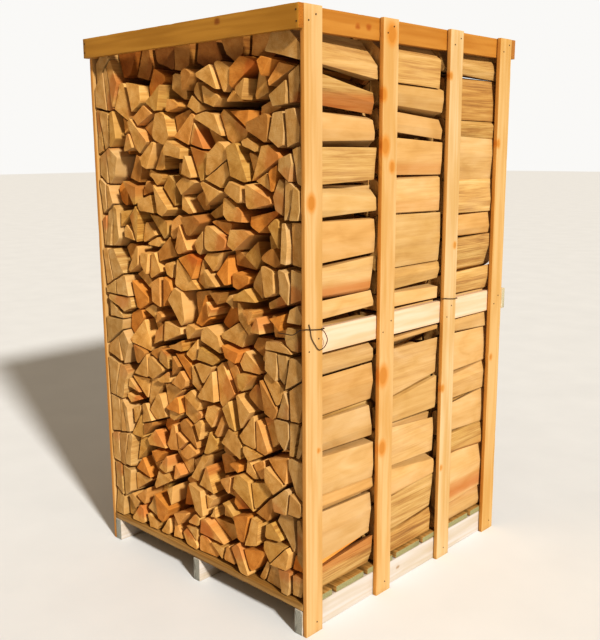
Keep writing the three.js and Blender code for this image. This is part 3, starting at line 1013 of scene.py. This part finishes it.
def board_form(node, along, tint, edge_painted_shade, seed):
    """A sawn board in the place of a solid, with worn arrises, an uneven surface and knots."""
    random = np.random.RandomState(seed)
    low, high = (np.array(corner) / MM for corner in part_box(node))
    u, v = ACROSS[along]
    wide, thick = (u, v) if high[u] - low[u] > high[v] - low[v] else (v, u)
    low_uv = np.array([low[u], low[v]]) + FACE_INSET
    high_uv = np.array([high[u], high[v]]) - FACE_INSET
    corners = np.array([low_uv, [high_uv[0], low_uv[1]], high_uv, [low_uv[0], high_uv[1]]])
    edge_counts = np.maximum(1, np.round(lengths_of(corners) / BOARD_POINT)).astype(int)
    cuts = random.uniform(*BOARD_CUT_SHARES, 4) * BOARD_CUT
    loop = rounded_loop(corners, cuts, [CURVE_POINTS] * 4, edge_counts)
    knots = KNOTS.get(node) or some_knots(low, high, along, wide, random)
    places = board_places(low[along], high[along], knots)
    total = len(places)
    points = len(loop)
    is_corner = np.concatenate([[1] * CURVE_POINTS + [0] * edge for edge in edge_counts])
    relief = board_relief(points, total, is_corner, random)

    centre = loop.mean(axis=0)
    half = (high_uv - low_uv) / 2
    inward = np.sign(centre - loop) * np.minimum(1, np.abs(loop - centre) / half) ** 12
    rings = np.zeros((total, points, 3))
    rings[..., [u, v]] = loop + inward * relief.T[..., None]
    rings[..., along] = places[:, None]
    bent = rings[..., wide].copy()
    knot = np.zeros((total, points))
    for place, side, radius in knots:
        distance = np.hypot(rings[..., wide] - side, (rings[..., along] - place) * KNOT_FLATNESS) / radius
        bent = side + (bent - side) * (1 - KNOT_BEND * np.exp(-((distance / KNOT_REACH) ** 2)))
        knot = np.maximum(knot, np.clip(KNOT_EDGE - distance, 0, 1))
    middle = dict(zip((u, v), centre))
    pith_wide = middle[wide] + random.uniform(-PITH_ASIDE, PITH_ASIDE)
    pith_thick = middle[thick] + random.choice([-1, 1]) * random.uniform(*PITH_BEHIND)
    lengthways = rings[..., along] + random.uniform(-FAR_AWAY, FAR_AWAY)
    grain = np.stack([bent - pith_wide, rings[..., thick] - pith_thick, lengthways], axis=-1)
    tints = np.tile(np.array(tint), (total - 1, points, 1))
    steps = dict(zip((u, v), np.abs(edges_of(loop)).T))
    # painted shade: the narrow edges get a darker colour factor
    tints[:, steps[thick] > steps[wide]] *= edge_painted_shade
    form = Form()
    form.add(rings, grain, tints.reshape(-1, 3), knot=knot)
    return form


def make_boards(materials):
    plan = []
    for number in range(1, DECK_BOARDS + 1):
        plan.append((f"deck_board_{number}", 0, "deck", (1.1, 1.17, 1.17)))
    for name in ("left", "middle", "right"):
        plan.append((f"bearer_{name}", 1, "pale", (0.75, 0.82, 1.05)))
    slat_tints = [(0.95, 1.0, 1.06), (0.97, 1.03, 1.1), (0.97, 1.12, 1.4), (0.94, 1.0, 1.0)]
    for side in SIDES:
        for number, tint in enumerate(slat_tints, start=1):
            plan.append((f"slat_{side}_{number}", 2, "slat", tint))
        plan.append((f"top_rail_{side}", 1, "rail", (1.0, 1.0, 1.0)))
        plan.append((f"middle_rail_{side}", 1, "pale", (0.97, 0.86, 0.86)))
    plan.append(("top_board_front", 0, "board", (1.0, 1.0, 1.0)))
    plan.append(("top_board_back", 0, "rail", (1.0, 1.0, 1.0)))
    plan.append(("middle_board_back", 0, "pale", (1.0, 1.0, 1.0)))
    for seed, (node, along, kind, tint) in enumerate(plan, start=BOARD_SEED):
        form = board_form(node, along, tint, SLAT_EDGE_PAINTED_SHADE if kind == "slat" else 1.0, seed)
        form.piece(f"{node}_wood", materials[kind], "board" if kind == "rail" else kind, [node], sharp=50)


# Materials: the rings, their wander and the heartwood are measured in metres
WOOD_RING = 0.0052
WOOD_RING_WANDER = 0.012
CRACK_WIDTH = 0.012
HEART_RADIUS = (0.03, 0.055)
BOARD_RING = 0.009
BOARD_RING_WANDER = 0.022
SPECULAR = 0.25
# Woods of the boards: names, colours of light and dark wood, knots and ends, and the bands' contrast
BOARD_WOODS = {
    "slat": ("slat_spruce", "#C59E6B", "#B38240", "#BC7520", "#B0763A", 0.5),
    "rail": ("rail_spruce", "#AE7934", "#99611D", "#955012", "#A56E33", 0.5),
    "board": ("board_spruce", "#B28031", "#98681D", "#824510", "#A8691F", 0.5),
    "pale": ("pale_pine", "#D6C6AC", "#C4AB80", "#A67F50", "#B4AC90", 0.5),
    "deck": ("deck_pine", "#A17A47", "#7D5727", "#633E1A", "#8A825D", 1.0),
}


def colour(code):
    values = [int(code[start:start + 2], 16) / 255 for start in (1, 3, 5)]
    return tuple(value / 12.92 if value < 0.04045 else ((value + 0.055) / 1.055) ** 2.4 for value in values)


class Shader:
    """One material's nodes, with a short call for each kind of node."""

    def __init__(self, name):
        self.material = bpy.data.materials.new(name)
        self.material.use_nodes = True
        self.tree = self.material.node_tree
        self.surface = self.tree.nodes["Principled BSDF"]

    def node(self, kind, inputs, **settings):
        made = self.tree.nodes.new(kind)
        for name, value in settings.items():
            setattr(made, name, value)
        for name, value in inputs.items():
            self.connect(made.inputs[name], value)
        return made

    def connect(self, socket, value):
        if isinstance(value, bpy.types.NodeSocket):
            self.tree.links.new(value, socket)
        elif socket.type == "RGBA":
            socket.default_value = (*value, 1)
        else:
            socket.default_value = value

    def place(self):
        return self.node("ShaderNodeNewGeometry", {}).outputs["Position"]

    def attribute(self, name, output="Vector"):
        return self.node("ShaderNodeAttribute", {}, attribute_name=name).outputs[output]

    def parts(self, vector):
        return self.node("ShaderNodeSeparateXYZ", {"Vector": vector}).outputs

    def flat(self, x, y):
        return self.node("ShaderNodeCombineXYZ", {"X": x, "Y": y}).outputs[0]

    def scaled(self, vector, *factors):
        return self.node("ShaderNodeVectorMath", {0: vector, 1: factors}, operation="MULTIPLY").outputs[0]

    def math(self, operation, *values):
        return self.node("ShaderNodeMath", dict(enumerate(values)), operation=operation).outputs[0]

    def times(self, first, second, *plus):
        return self.math("MULTIPLY_ADD" if plus else "MULTIPLY", first, second, *plus)

    def opposite(self, value):
        return self.math("SUBTRACT", 1.0, value)

    def noise(self, vector, scale, detail=3.0, roughness=0.5, distortion=0.0):
        inputs = {"Vector": vector, "Scale": scale, "Detail": detail}
        inputs.update({"Roughness": roughness, "Distortion": distortion})
        return self.node("ShaderNodeTexNoise", inputs).outputs[0]

    def between(self, value, low, high):
        inputs = {"Value": value, "From Min": low, "From Max": high}
        return self.node("ShaderNodeMapRange", inputs, interpolation_type="SMOOTHSTEP").outputs[0]

    def spread(self, value, low, high):
        return self.node("ShaderNodeMapRange", {"Value": value, "To Min": low, "To Max": high}).outputs[0]

    def mix(self, factor, first, second, blend="MIX"):
        inputs = {0: factor, 6: first, 7: second}
        return self.node("ShaderNodeMix", inputs, data_type="RGBA", blend_type=blend).outputs[2]

    def ramp(self, factor, stops):
        made = self.node("ShaderNodeValToRGB", {"Fac": factor})
        elements = made.color_ramp.elements
        while len(elements) < len(stops):
            elements.new(0.5)
        for element, (place, shade) in zip(elements, stops.items()):
            element.position = place
            element.color = (*(colour(shade) if isinstance(shade, str) else shade), 1)
        return made.outputs[0]

    def finish(self, base, roughness, height, depth, strength):
        bump = self.node("ShaderNodeBump", {"Height": height, "Distance": depth, "Strength": strength})
        self.connect(self.surface.inputs["Base Color"], base)
        self.connect(self.surface.inputs["Roughness"], roughness)
        self.connect(self.surface.inputs["Normal"], bump.outputs[0])
        self.surface.inputs["Specular IOR Level"].default_value = SPECULAR
        return self.material


class WoodShader(Shader):
    """A shader with what a form says about its wood."""

    def __init__(self, name):
        super().__init__(name)
        self.grain = self.attribute("grain")
        self.tint = self.attribute("tint")
        self.sawn, self.rough, self.heart = self.parts(self.attribute("parts"))
        self.x, self.y, _ = self.parts(self.grain)
        self.section = self.flat(self.x, self.y)
        measured = self.node("ShaderNodeVectorMath", {0: self.section}, operation="LENGTH")
        self.radius = measured.outputs["Value"]

    def fibres(self, stretch, *noise):
        """Noise that is drawn out along the grain."""
        return self.noise(self.scaled(self.grain, 1, 1, stretch), *noise)

    def around(self, angle_factor, radius_factor):
        angle = self.math("ARCTAN2", self.y, self.x)
        return self.flat(self.times(angle, angle_factor), self.times(self.radius, radius_factor))


def split_wood_material():
    shader = WoodShader("split_firewood")
    times = shader.times

    # Split faces: a calm pale face with long soft bands, or a rough one with brown fibres
    fibres = shader.fibres(0.03, 230, 5, 0.62)
    streaks = shader.fibres(0.05, 52, 4, 0.6, 0.35)
    bands = shader.fibres(0.35, 16, 3, 0.5, 0.5)
    fine = times(fibres, 0.4, times(streaks, 0.6))
    calm_level = times(bands, 0.7, times(fine, 0.3))
    calm = shader.ramp(calm_level, {0.3: "#B88A4C", 0.44: "#C5985A", 0.56: "#CBA065", 0.7: "#D2AA72"})
    streaked = shader.ramp(fine, {0.36: "#7E5222", 0.45: "#A6773A", 0.54: "#BE9450", 0.66: "#D2A96C"})
    split = shader.mix(shader.rough, calm, streaked)

    # Sawn ends: faint rings, rays, stains and cracks
    wander = times(shader.noise(shader.section, 30, 2), WOOD_RING_WANDER)
    rings = shader.math("SINE", times(shader.math("ADD", shader.radius, wander), math.tau / WOOD_RING))
    rays = shader.noise(shader.around(9, 14), 3.2, 4, 0.65)
    stains = shader.noise(shader.section, 26, 3, 0.55, 0.4)
    level = times(stains, 0.6, times(rings, 0.02, times(rays, 0.4)))
    end = shader.ramp(level, {0.34: "#AA7834", 0.46: "#C08D49", 0.56: "#CD9D5A", 0.7: "#D8AC6D"})
    off_crack = shader.math("SUBTRACT", shader.noise(shader.around(5, 10), 2.1, 2, 0.5), 0.5)
    crack = shader.opposite(shader.between(shader.math("ABSOLUTE", off_crack), 0.0, CRACK_WIDTH))
    crack = times(crack, shader.between(stains, 0.5, 0.58))
    end = shader.mix(times(crack, 0.5), end, colour("#6B3F16"))

    # Reddish heartwood near the pith, on every face
    core = times(stains, 0.03, shader.math("SUBTRACT", shader.radius, 0.015))
    core = shader.opposite(shader.between(core, *HEART_RADIUS))
    base = shader.mix(shader.sawn, split, end)
    base = shader.mix(times(times(core, shader.heart), 0.7), base, colour("#AF5F20"))
    base = shader.mix(1.0, base, shader.tint, "MULTIPLY")

    saw = shader.noise(shader.scaled(shader.grain, 3.0, 0.4, 1), 320, 2)
    relief = times(times(streaks, 1.2, times(fibres, 0.6)), times(shader.rough, 0.85, 0.25))
    height = shader.node("ShaderNodeMix", {0: shader.sawn, 2: relief, 3: saw}, data_type="FLOAT").outputs[0]
    return shader.finish(base, shader.spread(fibres, 0.62, 0.86), height, 0.002, 0.7)


def board_material(name, light, dark, knot_colour, end_colour, contrast):
    """Sawn softwood: growth bands along the board, fine fibres, knots and darker end grain."""
    light, dark, knot_colour, end_colour = (colour(code) for code in (light, dark, knot_colour, end_colour))
    shader = WoodShader(name)
    times = shader.times
    knot = shader.attribute("knot", "Fac")
    wander = times(shader.fibres(0.1, 14, 3, 0.5), BOARD_RING_WANDER)
    turns = times(shader.math("ADD", shader.radius, wander), math.tau / BOARD_RING)
    bands = shader.math("POWER", times(shader.math("SINE", turns), 0.5, 0.5), 1.6)
    fibres = shader.fibres(0.03, 330, 4, 0.6)
    streaks = shader.fibres(0.045, 60, 3, 0.55)
    level = times(streaks, 0.66, times(fibres, 0.4, times(bands, 0.3)))
    base = shader.mix(times(shader.between(level, 0.4, 1.0), contrast), light, dark)
    blotches = shader.between(shader.fibres(0.12, 20, 2), 0.42, 0.66)
    base = shader.mix(times(blotches, 0.6), base, dark)
    base = shader.mix(times(shader.between(knot, 0.0, 0.9), 0.75), base, knot_colour)
    eye_colour = shader.mix(0.3, knot_colour, (0.12, 0.04, 0.01))
    base = shader.mix(times(shader.between(knot, 0.72, 0.95), 0.5), base, eye_colour)
    end_grain = shader.between(shader.noise(shader.section, 260, 4, 0.6), 0.35, 0.65)
    end = shader.mix(end_grain, end_colour, tuple(0.7 * part for part in end_colour))
    base = shader.mix(1.0, shader.mix(shader.sawn, base, end), shader.tint, "MULTIPLY")
    height = times(fibres, 0.8, times(bands, 0.35))
    return shader.finish(base, shader.spread(fibres, 0.5, 0.72), height, 0.0007, 0.6)


def steel_material():
    shader = Shader("dull_steel_wire")
    spots = shader.noise(shader.place(), 700, 4, 0.6)
    base = shader.ramp(spots, {0.4: "#2B211B", 0.6: "#5A4A40", 0.75: "#8A5A38"})
    shader.surface.inputs["Metallic"].default_value = 0.75
    return shader.finish(base, shader.spread(spots, 0.35, 0.7), spots, 0.0002, 0.5)


def floor_material():
    shader = Shader("pale_floor")
    place = shader.place()
    base = shader.ramp(shader.noise(place, 3, 3), {0.3: (0.72, 0.745, 0.78), 0.7: (0.75, 0.775, 0.81)})
    return shader.finish(base, 0.85, shader.noise(place, 90, 3), 0.0005, 0.2)


# Wires
WIRE_STEP = 2.5
WIRE_SIDES = 10
WIRE_BEND = 2
# How far a wire mesh stays inside its solid
WIRE_MARGIN = 0.1
WIRE_LOW = MIDDLE_RAIL_TOP + WIRE_DIAMETER / 2 + 1


def wire_line(points):
    """Points along the centripetal curve through a wire's route."""
    points = [np.array(point, float) for point in points]
    points = [2 * points[0] - points[1]] + points + [2 * points[-1] - points[-2]]
    line = []
    for p0, p1, p2, p3 in zip(points, points[1:], points[2:], points[3:]):
        t1 = np.linalg.norm(p1 - p0) ** 0.5
        t2 = t1 + np.linalg.norm(p2 - p1) ** 0.5
        t3 = t2 + np.linalg.norm(p3 - p2) ** 0.5
        for t in np.linspace(t1, t2, max(2, int(np.linalg.norm(p2 - p1) / WIRE_STEP)), endpoint=False):
            a1 = p0 + (p1 - p0) * (t / t1)
            a2 = p1 + (p2 - p1) * ((t - t1) / (t2 - t1))
            a3 = p2 + (p3 - p2) * ((t - t2) / (t3 - t2))
            b1 = a1 + (a2 - a1) * (t / t2)
            b2 = a2 + (a3 - a2) * ((t - t1) / (t3 - t1))
            line.append(b1 + (b2 - b1) * ((t - t1) / (t2 - t1)))
    line.append(points[-2])
    return np.array(line)


def sweep(line, radius):
    """Rings of a round wire along a line."""
    tangents = unit(np.gradient(line, axis=0))
    normal = np.cross(tangents[0], [0.3, 0.2, 1.0])
    angles = np.linspace(0, math.tau, WIRE_SIDES, endpoint=False)[:, None]
    rings = []
    for place, tangent in zip(line, tangents):
        normal = normal - tangent * normal.dot(tangent)
        normal /= np.linalg.norm(normal)
        side = np.cross(normal, tangent)
        rings.append(place + radius * (np.cos(angles) * side + np.sin(angles) * normal))
    return np.array(rings)


def wire_round(slat_start, inward):
    near = FRONT + slat_start - WIRE_AWAY
    far = FRONT + slat_start + SLAT_WIDTH + WIRE_AWAY
    return [
        *inward,
        (INNER_X, near, WIRE_LOW + 5),
        (WIRE_FACE - WIRE_BEND, near, WIRE_LOW + 9),
        (WIRE_FACE, near + WIRE_BEND, WIRE_LOW + 10),
        (WIRE_FACE, near + 24, WIRE_LOW + 6),
        (WIRE_FACE, far - 14, WIRE_LOW),
        (WIRE_FACE, far - WIRE_BEND, WIRE_LOW),
        (WIRE_FACE - WIRE_BEND, far, WIRE_LOW),
        (INNER_X, far, WIRE_LOW),
        (RAIL_INNER_X + WIRE_INSET, far, WIRE_LOW),
    ]


def make_wires(material):
    in_front = FRONT - WIRE_DIAMETER / 2 - 1
    behind = (RAIL_INNER_X + WIRE_INSET, FRONT + SLAT_STARTS[2] - WIRE_AWAY, MIDDLE_RAIL_TOP + 5)
    # Where the wire runs across the logs' ends: distance from the slats and height
    across_logs = [(INNER_X - away, in_front, z) for away, z in ((99, 1021), (67, 1022), (32, 1024))]
    # The loop beside the front slat: distance from the crate's front and height
    bends = [(13, 1062), (19, 1044), (25, 1018), (42, 992), (60, 974)]
    bends += [(84, 979), (98, 999), (87, 1024), (75, 1036), (70, 1041)]
    loop = [(WIRE_FACE, FRONT + y, z) for y, z in bends]
    ties = {
        "front": [wire_round(SLAT_STARTS[0], across_logs), loop],
        "third_slat": [wire_round(SLAT_STARTS[2], [behind])],
    }
    for name, routes in ties.items():
        form = Form()
        for route in routes:
            rings = sweep(wire_line(route), WIRE_DIAMETER / 2 - WIRE_MARGIN)
            form.add(rings, rings)
        form.piece(f"bent_wire_{name}", material, "steel", [f"tie_wire_{name}"], sharp=60)


# Nails: the head's section as (share of the radius, height)
NAIL_SEED = 77
NAIL_RADIUS = 2.7
NAIL_HEIGHT = 0.6
NAIL_HEAD = [(0.35, -4.0), (1.0, -0.1), (1.0, 0.3), (0.86, NAIL_HEIGHT), (0.35, NAIL_HEIGHT - 0.1)]
NAIL_SIDES = 12
NAIL_TILT = 0.04
# How far nails are off their places: across a slat and up it, and along a board
SLAT_NAIL_SHIFTS = (6, 5)
BOARD_NAIL_SHIFT = 2
# Nails through the slats: height, and distance across the slat
SLAT_NAILS = [
    (TOP_BOARD_BOTTOM + 22, 22),
    (TOP_BOARD_BOTTOM + 50, 58),
    (MIDDLE_RAIL_BOTTOM + 24, 24),
    (MIDDLE_RAIL_BOTTOM + 60, 58),
    (BEARER_HEIGHT * 0.42, 50),
]


def add_nail(form, place, axis, sign, random):
    u, v = ACROSS[axis]
    angles = np.linspace(0, math.tau, NAIL_SIDES, endpoint=False)[::sign]
    tilt, _ = random.uniform(-NAIL_TILT, NAIL_TILT, 2)
    rings = np.zeros((len(NAIL_HEAD), NAIL_SIDES, 3))
    for ring, (share, height) in zip(rings, NAIL_HEAD):
        ring_u = NAIL_RADIUS * share * np.cos(angles)
        ring[:, u] = place[u] + ring_u
        ring[:, v] = place[v] + NAIL_RADIUS * share * np.sin(angles)
        ring[:, axis] = place[axis] + sign * (height + ring_u * tilt * (height > 0))
    form.add(rings, rings)


def make_nails(material):
    random = np.random.RandomState(NAIL_SEED)
    form = Form()
    outer = WIDTH / 2 - FACE_INSET
    front = FRONT - JOINT_GAP - BOARD_THICKNESS + FACE_INSET
    back = BACK + JOINT_GAP + BOARD_THICKNESS - FACE_INSET
    for sign in SIDES.values():
        for start in SLAT_STARTS:
            for height, across in SLAT_NAILS:
                aside, up = (random.uniform(-shift, shift) for shift in SLAT_NAIL_SHIFTS)
                place = (sign * outer, FRONT + start + across + aside, height + up)
                add_nail(form, place, 0, sign, random)
    board_nails = [(TOP_BOARD_BOTTOM + up, *face) for up in (20, 52) for face in ((front, -1), (back, 1))]
    board_nails += [(MIDDLE_RAIL_BOTTOM + up, back, 1) for up in (22, 62)]
    for side in SIDES.values():
        for z, y, sign in board_nails:
            x = side * (INNER_X + SLAT_THICKNESS / 2) + random.uniform(-BOARD_NAIL_SHIFT, BOARD_NAIL_SHIFT)
            add_nail(form, (x, y, z), 1, sign, random)
    form.piece("nails", material, "steel", [], sharp=40)


# Studio
SUN_FROM = (0.82, -0.27, 0.5)
SUN_STRENGTH = 4.25
SUN_ANGLE = 5
SUN_COLOUR = (1.0, 0.955, 0.875)
SKY_STRENGTH = 0.335
SKY_COLOUR = (1.0, 0.82, 0.61, 1)
BACKDROP = 0.8
BACKDROP_COLOUR = (1.0, 0.99, 0.97, 1)
FLOOR_HALF_SIZE = 60
VIEW_END = 200


def make_camera():
    yaw, pitch, roll = (math.radians(angle) for angle in (CAMERA_YAW, CAMERA_PITCH, CAMERA_ROLL))
    forward = Vector((math.sin(yaw) * math.cos(pitch), math.cos(yaw) * math.cos(pitch), math.sin(pitch)))
    right = forward.cross(Vector((0, 0, 1))).normalized()
    up = right.cross(forward)
    x = right * math.cos(roll) + up * math.sin(roll)
    y = -right * math.sin(roll) + up * math.cos(roll)
    data = bpy.data.cameras.new("camera")
    data.sensor_width = SENSOR
    data.lens = FOCAL_PIXELS / IMAGE_HEIGHT * SENSOR
    data.clip_end = VIEW_END
    camera = link("camera", data)
    axes = Matrix((x, y, -forward)).transposed()
    camera.matrix_world = Matrix.Translation(Vector(CAMERA_PLACE) * MM) @ axes.to_4x4()
    bpy.context.scene.camera = camera


def make_sun():
    data = bpy.data.lights.new("key", "SUN")
    data.energy = SUN_STRENGTH
    data.angle = math.radians(SUN_ANGLE)
    data.color = SUN_COLOUR
    light = link("key", data)
    light.matrix_world = Vector(SUN_FROM).to_track_quat("Z", "Y").to_matrix().to_4x4()


def make_world():
    """A pale backdrop, which lights the crate more softly than it looks."""
    world = bpy.data.worlds.new("studio")
    world.use_nodes = True
    nodes = world.node_tree.nodes
    links = world.node_tree.links
    sky = nodes["Background"]
    backdrop = nodes.new("ShaderNodeBackground")
    lights = ((sky, SKY_COLOUR, SKY_STRENGTH), (backdrop, BACKDROP_COLOUR, BACKDROP))
    mixed = nodes.new("ShaderNodeMixShader")
    for index, (light, shade, strength) in enumerate(lights, start=1):
        light.inputs["Color"].default_value = shade
        light.inputs["Strength"].default_value = strength
        links.new(light.outputs[0], mixed.inputs[index])
    links.new(nodes.new("ShaderNodeLightPath").outputs["Is Camera Ray"], mixed.inputs[0])
    links.new(mixed.outputs[0], nodes["World Output"].inputs[0])
    bpy.context.scene.world = world


def make_floor():
    size = FLOOR_HALF_SIZE
    mesh = bpy.data.meshes.new("floor")
    corners = [(-size, -size, 0), (size, -size, 0), (size, size, 0), (-size, size, 0)]
    mesh.from_pydata(corners, [], [(0, 1, 2, 3)])
    mesh.materials.append(floor_material())
    floor = link("floor", mesh)


def make_studio():
    make_sun()
    make_world()
    make_floor()
    bpy.context.scene.view_settings.view_transform = "Standard"
    bpy.context.scene.view_settings.look = "Medium High Contrast"


make_camera()
make_studio()
make_boards({kind: board_material(*wood) for kind, wood in BOARD_WOODS.items()})
make_rows(split_wood_material())
steel = steel_material()
make_wires(steel)
make_nails(steel)
